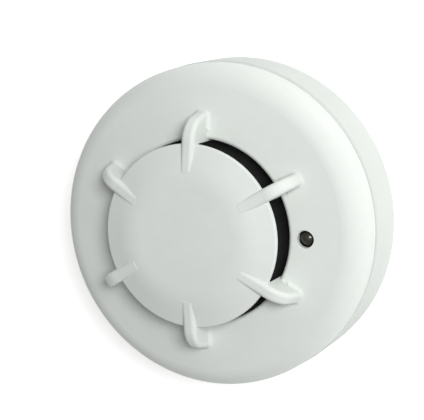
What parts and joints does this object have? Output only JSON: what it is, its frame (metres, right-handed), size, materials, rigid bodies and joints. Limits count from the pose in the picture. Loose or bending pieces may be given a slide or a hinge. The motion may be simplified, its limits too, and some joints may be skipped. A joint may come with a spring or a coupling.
{
  "type": "heat detector",
  "caption": "Round ceiling heat detector: domed cover with a raised flat cap on arched ribs over the sensing chamber, indicator lamp, and a twist-off head on a wired base.",
  "frame": {"origin": "centre of the base's flat mounting face, which goes against the ceiling", "axes": "+Z out of the mounting face along the detector's axis, towards the cap, so +Z points down when the detector is on a ceiling; +X through the indicator lamp"},
  "size_m": [0.1, 0.1, 0.0443],
  "materials": {
    "base_plastic": "satin white moulded plastic",
    "cover_plastic": "satin white moulded plastic",
    "housing_plastic": "satin white moulded plastic",
    "black_plastic": "matt black moulded plastic",
    "gasket_foam": "closed-cell foam",
    "board_laminate": "green solder mask",
    "natural_nylon": "natural moulded nylon",
    "sensor_resin": "dipped resin",
    "lamp_lens": "dark tinted lens",
    "chip_package": "moulded epoxy",
    "capacitor_can": "drawn can",
    "suppressor_coating": "dipped coating",
    "resistor_body": "glazed chip with tinned ends",
    "ceramic_chip": "fired ceramic with tinned ends",
    "label_stock": "blank printed-label film",
    "rivet_metal": "turned",
    "screw_steel": "zinc plated",
    "tinned_brass": "tin plated brass",
    "plate_brass": "stamped",
    "spring_steel": "stamped spring strip"
  },
  "bodies": {
    "base": {"mounting_base": "base_plastic", "spring_rivets": "rivet_metal", "terminal_screws": "screw_steel", "clamp_washers": "screw_steel", "terminal_plate_1": "plate_brass", "terminal_plate_2": "plate_brass", "terminal_plate_3": "plate_brass", "terminal_plate_4": "plate_brass", "contact_spring_1": "spring_steel", "contact_spring_2": "spring_steel", "contact_spring_3": "spring_steel", "contact_spring_4": "spring_steel"},
    "head": {"front_cover": "cover_plastic", "rear_housing": "housing_plastic", "housing_screws": "screw_steel", "contact_posts": "tinned_brass", "rating_label": "label_stock", "circuit_board": "board_laminate", "chamber_shield": "black_plastic", "shield_gasket": "gasket_foam", "thermistor_sleeve": "natural_nylon", "sensing_thermistor": "sensor_resin", "reference_thermistor": "sensor_resin", "indicator_led": "lamp_lens", "led_spacer": "natural_nylon", "microcontroller": "chip_package", "bridge_rectifier": "chip_package", "line_transistor": "chip_package", "smoothing_capacitor": "capacitor_can", "surge_suppressor": "suppressor_coating", "chip_resistors": "resistor_body", "chip_capacitors": "ceramic_chip", "contact_blade_1": "tinned_brass", "contact_blade_2": "tinned_brass", "contact_blade_3": "tinned_brass", "contact_blade_4": "tinned_brass"}
  },
  "joints": [
    {"name": "head_twist", "type": "hinge", "parent": "base", "child": "head", "pos_m": [0, 0, 0.0174], "axis": [0, 0, 1], "range_deg": [0, 20]}
  ]
}
